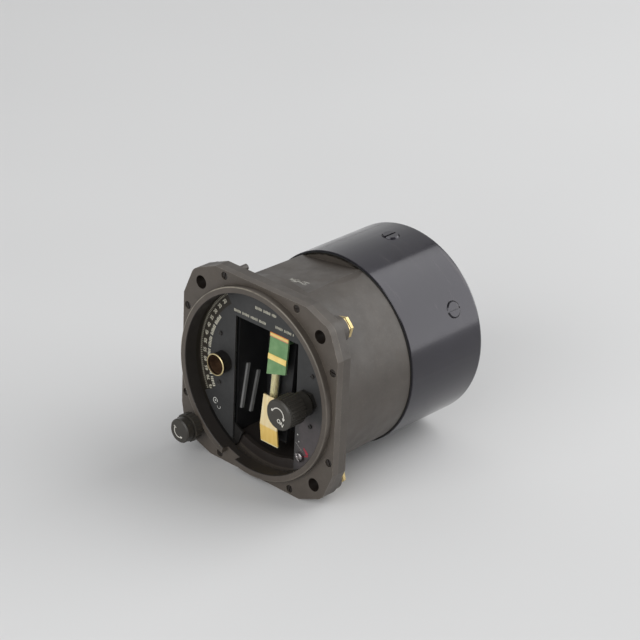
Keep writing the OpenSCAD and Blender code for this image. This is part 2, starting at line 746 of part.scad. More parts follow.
// Valve knob with a fluted grip and a plain rim
module valve_knob() {
    r = valve_knob_d / 2;
    front = -valve_knob_front;
    back = dial_y - 2.2;
    color([0.07, 0.07, 0.07]) translate([port_x, 0, port_z]) difference() {
        union() {
            turned(64) polygon([[0, front], [r - 0.6, front], [r, front + 0.6], [r, front + 1.6],
                [r - 0.5, front + 2], [0, front + 2]]);
            plate(front + 1.9, front + 9) grip_outline(r, flute_n, flute_depth);
            turned(64) polygon([[0, front + 8.9], [r - 0.4, front + 8.9], [r - 1.2, front + 9.6],
                [r - 1.2, back - 0.4], [r - 1.6, back], [0, back]]);
        }
        bar(0, 0, shaft_r, front + 3, back + over);
    }
}

// Valve spindle: shaft and rotor in one piece, with the air way across the rotor
module valve_shaft() {
    color([0.58, 0.58, 0.60]) translate([port_x, 0, port_z]) difference() {
        union() {
            bar(0, 0, shaft_r, -valve_knob_front + 3, valve_y + 2.6);
            bar(0, 0, rotor_r, valve_y + 2.5, valve_y + valve_len - 3, 48);
        }
        translate([-rotor_r - over, cross_y, 0]) rotate([0, 90, 0])
            cylinder(h = 2 * (rotor_r + over), d = pipe_bore, $fn = 24);
    }
}

// Threaded bush and hexagon nut of the valve, on the dial
module valve_bush() {
    color([0.60, 0.50, 0.28]) translate([port_x, 0, port_z]) difference() {
        union() {
            plate(dial_y - 1.6, dial_y) circle(r = shaft_r + 3, $fn = 6);
            bar(0, 0, bush_r, dial_y - 0.1, valve_y);
        }
        bar(0, 0, shaft_r + running_gap, dial_y - 2 - over, valve_y + over);
    }
}

// Valve block with the rotor bore and the crossing air way
module valve_body() {
    color([0.50, 0.50, 0.50]) difference() {
        plate(valve_y, valve_y + valve_len) {
            translate([port_x, port_z]) circle(r = valve_r, $fn = 48);
            translate([port_x - 3.9, -valve_low]) square([7.8, valve_low + port_z]);
            translate([port_x, port_z - 3]) square([union_x - port_x + 3, 6]);
        }
        bar(port_x, port_z, shaft_r + running_gap, valve_y - over, valve_y + 3);
        bar(port_x, port_z, rotor_r + running_gap, valve_y + 2.4, valve_y + valve_len + over, 48);
        bar(union_x, port_z, pipe_bore / 2, cross_y, valve_y + valve_len + over, 24);
        translate([port_x, cross_y, foot_z]) rotate([0, -90, 0])
            cylinder(h = 10, d = pipe_bore, $fn = 24);
        translate([port_x, cross_y, foot_z - 1]) cylinder(h = -foot_z, d = pipe_bore, $fn = 24);
    }
}

// Screwed end cap that closes the rotor bore
module valve_end_cap() {
    color([0.60, 0.50, 0.28]) translate([port_x, 0, port_z]) union() {
        bar(0, 0, rotor_r - 0.1, valve_y + valve_len - 2.6, valve_y + valve_len, 40);
        bar(-1.2, 0, rotor_r - 1.2, valve_y + valve_len - 0.1, valve_y + valve_len + 1.4, 40);
    }
}

// Black inlet tube, standing through the dial
module inlet_socket() {
    color([0.07, 0.07, 0.07]) union() {
        sleeve(-port_x, port_z, inlet_r, inlet_in, -inlet_front + 0.9, inlet_back - 2, 48);
        sleeve(-port_x, port_z, inlet_r, pipe_d / 2 + fit, inlet_back - 2.1, inlet_back, 48);
        sleeve(-port_x, port_z, inlet_r + 0.3, inlet_r - 0.1, dial_y + dial_t + fit, frame_y - fit, 48);
    }
}

// Brass rim of the inlet
module inlet_rim() {
    color([0.72, 0.63, 0.36]) translate([-port_x, 0, port_z]) turned(64) polygon([
        [inlet_in, -inlet_front + 0.2], [inlet_in + 0.2, -inlet_front],
        [inlet_r + inlet_rim - 0.2, -inlet_front], [inlet_r + inlet_rim, -inlet_front + 0.2],
        [inlet_r + inlet_rim, -inlet_front + 0.9], [inlet_in, -inlet_front + 0.9]]);
}

// Gauze disc inside the inlet
module inlet_gauze() {
    pitch = 1.1;
    color([0.34, 0.25, 0.17]) difference() {
        bar(-port_x, port_z, inlet_in - fit, frame_y - 1.6, frame_y - 1, 40);
        for (i = [-2:2], k = [-2:2])
            if (i * i + k * k < 7)
                translate([-port_x + i * pitch - 0.35, frame_y - 2.6, port_z + k * pitch - 0.35])
                    cube([0.7, 2.6, 0.7]);
    }
}

// Folded black pocket, open at the front and at the bottom
module tube_pocket() {
    out = pocket_half + pocket_wall;
    color([0.09, 0.09, 0.09]) difference() {
        translate([-out, pocket_y, -pocket_low])
            cube([2 * out, pocket_depth, pocket_low + pocket_top + pocket_wall]);
        translate([-pocket_half, pocket_y - over, -pocket_low - over])
            cube([2 * pocket_half, pocket_depth - pocket_wall + over, pocket_low + pocket_top + over]);
        translate([-tube_x - 3, pocket_y - over, pocket_top - over])
            cube([6 + rack_w / 2, 13 + over, pocket_wall + 2 * over]);
        translate([pocket_half - over, cross_y, foot_z]) rotate([0, 90, 0])
            cylinder(h = 4, d = pipe_d + 0.3, $fn = 24);
    }
}

// One bar of the card guide, on the pocket's left wall
module rail(y, z, lean, len) {
    translate([-pocket_half, y, z]) rotate([-lean, 0, 0])
        translate([0, -rail_t / 2, -len]) cube([0.9, rail_t, len]);
}

// Two bare guide bars, leaning back like the rack
module guide_rails() {
    color([0.62, 0.62, 0.62]) {
        rail(pocket_y + 5, -1.5, 9, rail_len + 1.4);
        rail(pocket_y + 10.8, -6.5, 12, rail_len);
    }
}

// Turns a piece from upright to the lean of the rack, about the rack's foot
module leaning() {
    translate([0, rack_y, -rack_low]) rotate([-rack_lean, 0, 0]) children();
}

// Depth and height of a point on the middle of the rack, at the length v from its foot
function rack_point(v) = let (d = rack_depth + rack_t / 2)
    [rack_y + d * cos(rack_lean) + v * sin(rack_lean), -rack_low - d * sin(rack_lean) + v * cos(rack_lean)];

// Black rack behind the card, with a rib to the back of the pocket
module tube_rack() {
    color([0.11, 0.11, 0.12]) difference() {
        union() {
            leaning() translate([-rack_w / 2, rack_depth, 1]) cube([rack_w, rack_t, rack_len - 3]);
            translate([-0.9, 0, 0]) rotate([90, 0, 90]) linear_extrude(1.8) polygon([rack_point(4),
                [pocket_back - pocket_wall, rack_point(4)[1]],
                [pocket_back - pocket_wall, rack_point(rack_len - 6)[1]], rack_point(rack_len - 6)]);
        }
        translate([0, cross_y, foot_z]) rotate([0, 90, 0])
            cylinder(h = 60, d = pipe_d + 0.6, center = true, $fn = 24);
    }
}

// Colour card, with which the tube's colour is compared
module colour_card() {
    color([0.30, 0.50, 0.30]) leaning() union() {
        plate(0, card_t) polygon([[-card_w / 2, card_low - card_slant], [card_w / 2, card_low],
            [card_w / 2, card_top], [-card_w / 2, card_top]]);
        translate([tube_x - tube_r, card_t - 0.1, card_top - 8])
            cube([2, rack_depth - card_t + 0.1, 6]);
    }
}

// Marker strips fixed on the card
module marker_strips() {
    color([0.95, 0.72, 0.30]) leaning() {
        translate([-card_w / 2, -strip_t, amber_low]) cube([card_w, strip_t, amber_h]);
        translate([-card_w / 2, -strip_t, orange_low]) cube([card_w, strip_t, orange_h]);
    }
}

// Glass detector tube
module detector_tube() {
    color([0.90, 0.92, 0.90, 0.5]) leaning()
        translate([-tube_x, tube_axis, tube_low]) difference() {
            cylinder(h = rack_len - tube_low + 2, r = tube_r, $fn = 32);
            translate([0, 0, -over]) cylinder(h = rack_len, r = tube_r - glass_wall, $fn = 32);
        }
}

// Yellow indicating gel inside the tube
module detector_gel() {
    color([0.96, 0.86, 0.55]) leaning()
        translate([-tube_x, tube_axis, tube_low + 7])
            cylinder(h = 13, r = tube_r - glass_wall - fit, $fn = 32);
}

// Brass spring clip that holds the tube, ending in a bent pull tab
module tube_clip() {
    color([0.84, 0.71, 0.38]) union() {
        leaning() translate([0, clip_front, tab_h]) rotate([-clip_lean, 0, 0]) plate(0, clip_t)
            polygon([[-clip_w / 2, -0.1], [clip_w / 2, -0.1], [clip_w / 2, clip_len - tab_h - 3.2],
                [1.2, clip_len - tab_h], [-clip_w / 2, clip_len - tab_h]]);
        leaning() translate([-clip_w / 2, clip_front, tab_h]) rotate([12, 0, 0])
            translate([0, 0, -tab_h]) cube([clip_w, clip_t, tab_h + 0.1]);
        leaning() translate([2, clip_front + clip_t - 0.1, tab_h + 1])
            cube([2, rack_depth - clip_front - clip_t + 0.1, 5]);
    }
}

// Rubber block that seals the upper end of the tube
module tube_head() {
    color([0.13, 0.11, 0.10]) difference() {
        translate([-9, frame_back + fit, head_z]) cube([18, 8, 8]);
        leaning() translate([-tube_x, tube_axis, 0])
            cylinder(h = rack_len + 2 + fit, r = tube_r + fit, $fn = 32);
        bar(-tube_x, pipe_z, pipe_d / 2 + fit, frame_back + 5, frame_back + 9, 24);
    }
}

// Rubber block that seals the lower end of the tube
module tube_foot() {
    color([0.13, 0.11, 0.10]) difference() {
        leaning() translate([-tube_x - tube_r - 0.4, card_t + fit, tube_low - 4])
            cube([2 * tube_r + 0.8, rack_depth - card_t - 2 * fit, 7]);
        leaning() translate([-tube_x, tube_axis, tube_low - fit])
            cylinder(h = 30, r = tube_r + fit, $fn = 32);
    }
}

// Frame plate behind the dial, cut out round the pocket
module frame_plate() {
    color([0.45, 0.45, 0.44]) difference() {
        plate(frame_y, frame_back) difference() {
            circle(r = case_in - fit, $fn = round_fn);
            translate([-pocket_half - pocket_wall - 0.1, -reach])
                square([2 * (pocket_half + pocket_wall + 0.1), reach + pocket_top + pocket_wall + 0.1]);
        }
        bar(-port_x, port_z, inlet_r + fit, frame_y - over, frame_back + over);
        bar(port_x, port_z, bush_r + fit, frame_y - over, frame_back + over);
        at_pillars() bar(0, 0, 1.25, frame_y - over, frame_back + over);
        bar(adjust_x, adjust_z, 1.1 + fit, frame_y - over, frame_back + over);
    }
}

// Screws through the case bosses and the frame plate into the pillars
module frame_screws() {
    color([0.30, 0.30, 0.31]) at_pillars() union() {
        bar(0, 0, 2.1, throat_y - 0.05, throat_y, 20);
        bar(0, 0, 1.2, throat_y, frame_back + 4, 20);
    }
}

// Four pillars between the frame plate and the bulkhead
module frame_pillars() {
    color([0.55, 0.55, 0.56]) at_pillars() difference() {
        bar(0, 0, pillar_d / 2, frame_back, bulkhead_y, 30);
        bar(0, 0, 1.2, frame_back - over, frame_back + 6, 20);
        bar(0, 0, 1.2, bulkhead_y - 6, bulkhead_y + over, 20);
    }
}

// Bulkhead that closes the front case and carries the filter
module bulkhead() {
    color([0.45, 0.45, 0.44]) difference() {
        bar(0, 0, bulkhead_r, bulkhead_y, bulkhead_back, round_fn);
        at_pillars() bar(0, 0, 1.25, bulkhead_y - over, bulkhead_back + over);
        for (k = [0:2]) rotate([0, -(60 + 120 * k), 0])
            bar(rod_circle, 0, 1.25, bulkhead_y - over, bulkhead_back + over);
        bar(-port_x, port_z, pipe_d / 2 + fit, bulkhead_y - over, bulkhead_back + over, 24);
        bar(-tube_x, pipe_z, pipe_d / 2 + fit, bulkhead_y - over, bulkhead_back + over, 24);
        bar(union_x, port_z, pipe_d / 2 + fit, bulkhead_y - over, bulkhead_back + over, 24);
    }
}

// Screws that hold the bulkhead to the pillars
module pillar_nuts() {
    color([0.40, 0.40, 0.41]) at_pillars() union() {
        bar(0, 0, 2.2, bulkhead_back, bulkhead_back + 1.4, 24);
        bar(0, 0, 1.2, bulkhead_y - 4, bulkhead_back + 0.1, 20);
    }
}

// Tie rods from the bulkhead to the rear ring
module tie_rods() {
    color([0.55, 0.55, 0.56]) for (k = [0:2]) rotate([0, -(60 + 120 * k), 0]) union() {
        bar(rod_circle, 0, tie_rod_d / 2, bulkhead_back, ring_y, 24);
        bar(rod_circle, 0, 1.2, bulkhead_y, ring_y + 5, 20);
    }
}

// Rear ring, which takes the cover screws
module rear_ring() {
    color([0.45, 0.45, 0.44]) difference() {
        sleeve(0, 0, ring_out, ring_in, ring_y, ring_y + rear_ring_len);
        for (k = [0:2]) rotate([0, -(60 + 120 * k), 0])
            bar(rod_circle, 0, 1.25, ring_y - over, ring_y + 5.5, 20);
        at_cover_screws() translate([0, 0, -5.2]) cylinder(h = 6, d = cover_shank_d + 0.1, $fn = 24);
    }
}

// Filter canister with two rolled beads
module filter_canister() {
    color([0.52, 0.53, 0.52]) translate([can_x, 0, can_z]) difference() {
        turned(72) polygon([[0, can_y], [can_r, can_y], [can_r, can_y + 6], [can_r - 0.8, can_y + 7],
            [can_r, can_y + 8], [can_r, can_end - 7], [can_r - 0.8, can_end - 6],
            [can_r, can_end - 5], [can_r, can_end], [0, can_end]]);
        bar(-port_x - can_x, port_z - can_z, pipe_d / 2 + fit, can_y - over, can_y + 2, 24);
        bar(-tube_x - can_x, pipe_z - can_z, pipe_d / 2 + fit, can_y - over, can_y + 2, 24);
    }
}

// Screwed cap of the canister
module canister_cap() {
    color([0.46, 0.47, 0.46]) translate([can_x, 0, can_z]) turned(72) polygon([[0, can_end],
        [can_r + 0.6, can_end], [can_r + 0.6, can_end + cap_t - 0.6], [can_r, can_end + cap_t],
        [9, can_end + cap_t], [8, can_end + cap_t + 0.6], [0, can_end + cap_t + 0.6]]);
}

// Stand-off ring between the bulkhead and the canister
module canister_ring() {
    color([0.50, 0.50, 0.50]) translate([can_x, 0, can_z])
        sleeve(0, 0, stand_r, stand_r - 4, bulkhead_back, can_y, 72);
}

// A straight air pipe along the depth
module pipe(x, z, y0, y1) {
    sleeve(x, z, pipe_d / 2, pipe_bore / 2, y0, y1, 24);
}

// Inlet to filter
module inlet_pipe() {
    color([0.70, 0.45, 0.30]) pipe(-port_x, port_z, inlet_back - 1.8, can_y + 1.8);
}

// Filter to the head of the tube
module head_pipe() {
    color([0.70, 0.45, 0.30]) pipe(-tube_x, pipe_z, frame_back + 5.2, can_y + 1.8);
}

// Foot of the tube to the valve
module cross_pipe() {
    color([0.70, 0.45, 0.30]) difference() {
        translate([-tube_x + tube_r, cross_y, foot_z]) rotate([0, 90, 0])
            cylinder(h = port_x - 3.9 - fit + tube_x - tube_r, d = pipe_d, $fn = 24);
        translate([-tube_x + tube_r - over, cross_y, foot_z]) rotate([0, 90, 0])
            cylinder(h = port_x + 2 * over, d = pipe_bore, $fn = 24);
    }
}

// Valve to the suction union
module suction_pipe() {
    color([0.70, 0.45, 0.30]) pipe(union_x, port_z, valve_y + valve_len + fit, cover_end_y - 2.6);
}

bezel_ring();
front_case();
bezel_screws();
anchor_nuts();
seam_gasket();
rear_cover();
cover_screws();
rear_union();
union_nut();
dial_plate();
dial_posts();
dial_screws();
adjust_screw();
scale_sector();
set_pinion();
set_shaft();
set_knob();
set_bush();
valve_knob();
valve_shaft();
valve_bush();
valve_body();
valve_end_cap();
inlet_socket();
inlet_rim();
inlet_gauze();
tube_pocket();
guide_rails();
tube_rack();
colour_card();
marker_strips();
detector_tube();
detector_gel();
tube_clip();
tube_head();
tube_foot();
frame_plate();
frame_screws();
frame_pillars();
bulkhead();
pillar_nuts();
tie_rods();
rear_ring();
filter_canister();
canister_cap();
canister_ring();
inlet_pipe();
head_pipe();
cross_pipe();
suction_pipe();
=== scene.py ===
import math

import bmesh
import bpy
from mathutils import Matrix, Vector


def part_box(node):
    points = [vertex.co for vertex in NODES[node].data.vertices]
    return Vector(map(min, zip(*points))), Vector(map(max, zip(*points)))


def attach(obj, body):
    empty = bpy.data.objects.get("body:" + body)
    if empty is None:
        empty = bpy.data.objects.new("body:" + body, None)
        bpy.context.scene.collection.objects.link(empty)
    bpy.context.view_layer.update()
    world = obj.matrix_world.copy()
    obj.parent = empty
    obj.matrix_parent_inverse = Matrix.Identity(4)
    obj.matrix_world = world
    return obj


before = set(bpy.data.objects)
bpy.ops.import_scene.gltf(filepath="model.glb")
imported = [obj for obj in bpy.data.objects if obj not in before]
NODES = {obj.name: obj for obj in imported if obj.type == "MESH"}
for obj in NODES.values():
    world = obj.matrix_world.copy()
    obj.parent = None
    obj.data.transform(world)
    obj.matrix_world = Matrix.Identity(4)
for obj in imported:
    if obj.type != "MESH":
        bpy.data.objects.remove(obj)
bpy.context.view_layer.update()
MM = 0.001


# Sizes and places in millimetres

def front_of(name):
    """The middle of a node as seen from the front, x and z, and the depth of its front face."""
    low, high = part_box(name)
    return (low.x + high.x) / 2 / MM, (low.z + high.z) / 2 / MM, low.y / MM


VALVE_X, VALVE_Z, VALVE_FACE = front_of("valve_knob")
SET_X, SET_Z, SET_FACE = front_of("set_knob")
INLET_X, INLET_Z, INLET_FACE = front_of("inlet_rim")
ADJUST_X, ADJUST_Z, ADJUST_FACE = front_of("adjust_screw")
LIP_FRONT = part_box("bezel_ring")[0].y / MM
DIAL_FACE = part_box("dial_plate")[0].y / MM
# The scale band runs this far behind the dial plate
BAND_GAP = 0.2
BAND_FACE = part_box("dial_plate")[1].y / MM + BAND_GAP

# Radii of the lip, of the recess inside it, of the front case's bore and of the inlet's bore
LIP_R = 39.25
RECESS_R = 36.5
CASE_IN = 34.2
INLET_IN = 3.9
# Panel screw holes: their distance from the middle, both across and up, and their radius
HOLE_AT = 31.43
HOLE_R = 2.7
# Heights of the bend and of the lower end of the clip's pull tab
TAB_TOP = -22.1
TAB_END = -29.7


# Colours and materials

def srgb(r, g, b):
    """A colour written as it is seen, 0 to 255, in the linear values that Blender takes."""
    out = []
    for value in (r, g, b):
        c = value / 255.0
        out.append(c / 12.92 if c <= 0.04045 else ((c + 0.055) / 1.055) ** 2.4)
    return (*out, 1.0)


def shade(colour, factor):
    """A colour made darker or lighter, and no lighter than white."""
    return (*[min(1.0, c * factor) for c in colour[:3]], 1.0)


class Mat:
    """A node material under construction: the Principled shader and the helpers that feed it."""

    def __init__(self, name, rough, metallic=0.0, specular=0.5):
        self.mat = bpy.data.materials.new(name)
        self.mat.use_nodes = True
        self.tree = self.mat.node_tree
        self.bsdf = self.tree.nodes["Principled BSDF"]
        self.bsdf.inputs["Roughness"].default_value = rough
        self.bsdf.inputs["Metallic"].default_value = metallic
        self.bsdf.inputs["Specular IOR Level"].default_value = specular
        self.place = self.tree.nodes.new("ShaderNodeTexCoord").outputs["Object"]

    def link(self, a, b):
        self.tree.links.new(a, b)

    def stretch(self, scale):
        """Coordinates for a pattern that is drawn finer along the axes with a larger scale."""
        node = self.tree.nodes.new("ShaderNodeMapping")
        node.inputs["Scale"].default_value = scale
        self.link(self.place, node.inputs["Vector"])
        return node.outputs["Vector"]

    def noise(self, scale, detail=4.0, rough=0.55, vector=None, distortion=0.0):
        node = self.tree.nodes.new("ShaderNodeTexNoise")
        node.inputs["Scale"].default_value = scale
        node.inputs["Detail"].default_value = detail
        node.inputs["Roughness"].default_value = rough
        node.inputs["Distortion"].default_value = distortion
        self.link(vector or self.place, node.inputs["Vector"])
        return node.outputs["Fac"]

    def spread(self, value, low, high, to_low=0.0, to_high=1.0):
        """Stretch the range low to high over to_low to to_high, and hold the ends."""
        node = self.tree.nodes.new("ShaderNodeMapRange")
        node.inputs["From Min"].default_value = low
        node.inputs["From Max"].default_value = high
        node.inputs["To Min"].default_value = to_low
        node.inputs["To Max"].default_value = to_high
        self.link(value, node.inputs["Value"])
        return node.outputs["Result"]

    def zone(self, length, low_mm, high_mm, to_low=0.0, to_high=1.0):
        """spread() for a length, with its range given in millimetres."""
        return self.spread(length, low_mm * MM, high_mm * MM, to_low, to_high)

    def math(self, kind, a, b=None):
        node = self.tree.nodes.new("ShaderNodeMath")
        node.operation = kind
        for k, value in enumerate((a, b)):
            if value is None:
                continue
            if isinstance(value, (int, float)):
                node.inputs[k].default_value = value
            else:
                self.link(value, node.inputs[k])
        return node.outputs["Value"]

    def product(self, first, *others):
        for other in others:
            first = self.math("MULTIPLY", first, other)
        return first

    def mix(self, factor, a, b):
        """The colour a where the factor is 0, and b where it is 1."""
        node = self.tree.nodes.new("ShaderNodeMix")
        node.data_type = "RGBA"
        self.link(factor, node.inputs["Factor"])
        for name, value in (("A", a), ("B", b)):
            socket = [s for s in node.inputs if s.name == name and s.type == "RGBA"][0]
            if isinstance(value, tuple):
                socket.default_value = value
            else:
                self.link(value, socket)
        return [s for s in node.outputs if s.type == "RGBA"][0]

    def colour(self, value):
        self.link(value, self.bsdf.inputs["Base Color"])

    def over(self, factor, value):
        """Lay a colour over the one that the shader has, where the factor is 1."""
        self.colour(self.mix(factor, self.bsdf.inputs["Base Color"].links[0].from_socket, value))

    def coordinates(self):
        """The three coordinates of the surface in the part's frame, in metres."""
        node = self.tree.nodes.new("ShaderNodeSeparateXYZ")
        self.link(self.place, node.inputs["Vector"])
        return node.outputs["X"], node.outputs["Y"], node.outputs["Z"]

    def radius(self, x, z, x_mm=0.0, z_mm=0.0):
        """Distance of x and z from the axis along Y through (x_mm, z_mm), in metres."""
        dx = self.math("SUBTRACT", x, x_mm * MM)
        dz = self.math("SUBTRACT", z, z_mm * MM)
        return self.math("SQRT", self.math("ADD", self.product(dx, dx), self.product(dz, dz)))

    def hole_walls(self, x, z):
        """1 on the walls of the panel screw holes, which lie alike in the corners."""
        r = self.radius(self.math("ABSOLUTE", x), self.math("ABSOLUTE", z), HOLE_AT, HOLE_AT)
        return self.zone(r, HOLE_R + 0.08, HOLE_R + 0.02)

    def edges(self, radius_mm):
        """1 on the convex and concave edges of the surface, 0 on its flats."""
        bevel = self.tree.nodes.new("ShaderNodeBevel")
        bevel.samples = 6
        bevel.inputs["Radius"].default_value = radius_mm * MM
        geometry = self.tree.nodes.new("ShaderNodeNewGeometry")
        dot = self.tree.nodes.new("ShaderNodeVectorMath")
        dot.operation = "DOT_PRODUCT"
        self.link(bevel.outputs["Normal"], dot.inputs[0])
        self.link(geometry.outputs["Normal"], dot.inputs[1])
        lean = self.math("SUBTRACT", 1.0, dot.outputs["Value"])
        return self.spread(lean, 0.02, 0.25)

    def bump(self, height, strength, distance_mm):
        node = self.tree.nodes.new("ShaderNodeBump")
        node.inputs["Strength"].default_value = strength
        node.inputs["Distance"].default_value = distance_mm * MM
        self.link(height, node.inputs["Height"])
        self.link(node.outputs["Normal"], self.bsdf.inputs["Normal"])

    def roughness(self, value):
        self.link(value, self.bsdf.inputs["Roughness"])


def painted(name, base, worn, rough, wear, grain=2600):
    """Satin or matt paint or moulding: cloudy colour, fine grain and worn edges."""
    m = Mat(name, rough)
    body = m.mix(m.spread(m.noise(70, 5, 0.6), 0.3, 0.7), shade(base, 0.84), shade(base, 1.16))
    dust = m.spread(m.noise(900, 3, 0.6), 0.56, 0.78, 0, 0.35)
    body = m.mix(dust, body, shade(base, 1.7))
    chips = m.spread(m.noise(420, 6, 0.7), 0.5, 0.62)
    rub = m.product(m.edges(0.35), m.spread(chips, 0.0, 1.0, 0.25 * wear, wear))
    m.colour(m.mix(rub, body, worn))
    m.roughness(m.spread(m.noise(160, 5, 0.6), 0.3, 0.7, rough - 0.07, rough + 0.1))
    m.bump(m.noise(grain, 3, 0.6), 0.35, 0.02)
    return m


def enamel(*values, **named):
    """What painted() makes, with nothing laid over it."""
    return painted(*values, **named).mat


def metal(name, base, tarnish, rough, amount, metallic=1.0):
    """Bare or plated metal: tarnish clouds and a fine grain."""
    m = Mat(name, rough, metallic=metallic)
    fine = m.noise(900, 4, 0.6)
    body = m.mix(m.spread(fine, 0.35, 0.65), shade(base, 0.9), shade(base, 1.06))
    stain = m.spread(m.noise(240, 6, 0.65), 0.46, 0.7, 0, amount)
    m.colour(m.mix(stain, body, tarnish))
    m.roughness(m.spread(m.noise(500, 4, 0.6), 0.3, 0.7, rough - 0.08, rough + 0.12))
    m.bump(fine, 0.12, 0.01)
    return m.mat


def plain(name, base, rough, vary, grain=1800, depth=0.02, scale=120):
    """Rubber, gel and flat paint: cloudy colour that varies by a share of itself, and fine grain."""
    m = Mat(name, rough)
    cloud = m.noise(scale, 5, 0.6)
    m.colour(m.mix(m.spread(cloud, 0.3, 0.7), shade(base, 1 - vary), shade(base, 1 + vary)))
    m.roughness(m.spread(m.noise(scale * 2.3, 4, 0.6), 0.3, 0.7, rough - 0.05, rough + 0.08))
    m.bump(m.noise(grain, 3, 0.6), 0.3, depth)
    return m.mat


BARE = srgb(150, 143, 128)
HOLE_BROWN = srgb(38, 31, 26)


def gloss_cover():
    """Gloss black of the rear cover, with a purple cast painted in for the tint of its reflections: a thin
    clear top, faint wipe marks round it and a worn rim.
    """
    m = Mat("cover_gloss", 0.2, specular=0.44)
    # Painted reflection tint: the black carries a purple cast for the lavender of its reflections
    body = m.mix(m.spread(m.noise(45, 5, 0.6), 0.3, 0.7), srgb(18, 16, 22), srgb(27, 25, 33))
    scuff = m.spread(m.noise(60, 7, 0.75, m.stretch((1, 9, 1)), 0.6), 0.59, 0.7, 0, 0.3)
    body = m.mix(scuff, body, srgb(88, 82, 80))
    rub = m.product(m.edges(0.3), m.spread(m.noise(500, 5, 0.7), 0.45, 0.6))
    m.colour(m.mix(rub, body, srgb(104, 100, 98)))
    m.roughness(m.spread(m.noise(90, 6, 0.65), 0.3, 0.75, 0.13, 0.26))
    m.bump(m.noise(30, 2, 0.5), 0.25, 0.2)
    m.bsdf.inputs["Specular Tint"].default_value = (0.94, 0.92, 1.0, 1.0)
    m.bsdf.inputs["Coat Weight"].default_value = 0.25
    m.bsdf.inputs["Coat Roughness"].default_value = 0.08
    return m.mat


def flange_enamel():
    """Paint of the bezel plate: worn along the edge of its lip, with painted shade on the wall of the
    recess.
    """
    m = painted("flange_enamel", srgb(80, 73, 66), BARE, rough=0.46, wear=0.8)
    x, y, z = m.coordinates()
    r = m.radius(x, z)
    # Painted shade: the wall of the recess is darkened where it lies in shade
    m.over(m.zone(r, RECESS_R + 0.35, RECESS_R + 0.15), srgb(44, 40, 37))
    # The worn line follows the edge of the lip in patches, and is strongest on the upper left
    from_line = m.math("ABSOLUTE", m.math("SUBTRACT", r, (LIP_R - 0.3) * MM))
    line = m.zone(from_line, 0.3, 0.1)
    front = m.zone(y, LIP_FRONT + 0.6, LIP_FRONT + 0.3)
    patchy = m.spread(m.noise(190, 5, 0.6), 0.3, 0.55, 0.15, 0.7)
    upper_left = m.zone(m.math("SUBTRACT", z, x), -20, 40, 0.22, 1.0)
    m.over(m.product(line, front, patchy, upper_left), srgb(164, 157, 142))
    m.over(m.hole_walls(x, z), HOLE_BROWN)
    return m.mat


def case_enamel():
    """Paint of the front case: painted shade inside its bore and its recess, and traces of an old stamp on
    the flat of its top.
    """
    m = painted("case_enamel", srgb(70, 64, 58), BARE, rough=0.44, wear=0.5)
    x, y, z = m.coordinates()
    r = m.radius(x, z)
    bore = m.zone(r, CASE_IN + 0.2, CASE_IN + 0.1)
    # The recess is wider than the bore, and this painted shade stops ahead of the flat on top
    ahead_of_flat = m.zone(y, 13.2, 13.0)
    recess = m.product(ahead_of_flat, m.zone(r, RECESS_R + 0.3, RECESS_R + 0.2))
    # Painted shade: darker inside the bore and on the recess, where the case lies in shade
    m.over(m.math("MAXIMUM", bore, recess), srgb(46, 41, 38))
    m.over(m.hole_walls(x, z), HOLE_BROWN)
    # The stamp is about 10 mm wide and 3 mm deep, with its middle at this depth
    stamp_y = 21
    across = m.zone(m.math("ABSOLUTE", x), 5.0, 4.5)
    along = m.zone(m.math("ABSOLUTE", m.math("SUBTRACT", y, stamp_y * MM)), 1.6, 1.2)
    on_top = m.zone(z, 34.5, 35.0)
    traces = m.spread(m.noise(520, 3, 0.6, m.stretch((1, 2.4, 1))), 0.5, 0.56, 0, 0.7)
    m.over(m.product(across, along, on_top, traces), srgb(186, 184, 174))
    return m.mat


def rim_brass():
    """Brass of the inlet's rim: bright on its front bead, brown on its inside and its side."""
    m = Mat("rim_brass", 0.34, metallic=0.6)
    x, y, z = m.coordinates()
    fine = m.spread(m.noise(700, 5, 0.6), 0.35, 0.65)
    m.colour(m.mix(fine, srgb(206, 188, 138), srgb(226, 210, 162)))
    inside = m.zone(m.radius(x, z, INLET_X, INLET_Z), INLET_IN + 0.32, INLET_IN + 0.24)
    m.over(inside, srgb(70, 54, 38))
    m.over(m.zone(y, INLET_FACE + 0.2, INLET_FACE + 0.3), srgb(52, 44, 33))
    m.roughness(m.spread(m.noise(500, 4, 0.6), 0.3, 0.7, 0.28, 0.44))
    m.bump(fine, 0.12, 0.01)
    return m.mat


def dial_enamel():
    """Slate black dial paint, with a painted reflection: a lighter hazy zone on the right leg below the
    valve.
    """
    m = painted("dial_enamel", srgb(52, 52, 52), srgb(120, 118, 110), rough=0.55, wear=0.3, grain=3200)
    x, _, z = m.coordinates()
    # Painted reflection: the satin leg below the valve is lightened in patches where it reflects the light
    patchy = m.spread(m.noise(150, 5, 0.6), 0.25, 0.6, 0.5, 0.9)
    m.over(m.product(m.zone(x, 16, 20), m.zone(z, -6, -11), patchy), srgb(88, 82, 83))
    return m.mat


def scale_enamel():
    """Brown black paint of the scale band, plain black on the end below the numbers."""
    m = painted("scale_enamel", srgb(42, 37, 29), srgb(110, 98, 72), rough=0.6, wear=0.4, grain=3200)
    height = m.coordinates()[2]
    m.over(m.zone(height, -22.8, -23.4), srgb(24, 22, 20))
    return m.mat


def socket_moulding():
    """Black moulding of the inlet, brown with dust inside its mouth."""
    m = painted("socket_moulding", srgb(30, 28, 27), srgb(80, 78, 74), rough=0.4, wear=0.4)
    x, _, z = m.coordinates()
    inside = m.zone(m.radius(x, z, INLET_X, INLET_Z), INLET_IN + 0.15, INLET_IN + 0.05)
    dust = m.mix(m.spread(m.noise(260, 5, 0.65), 0.35, 0.65), srgb(66, 48, 35), srgb(100, 76, 56))
    m.over(inside, dust)
    return m.mat


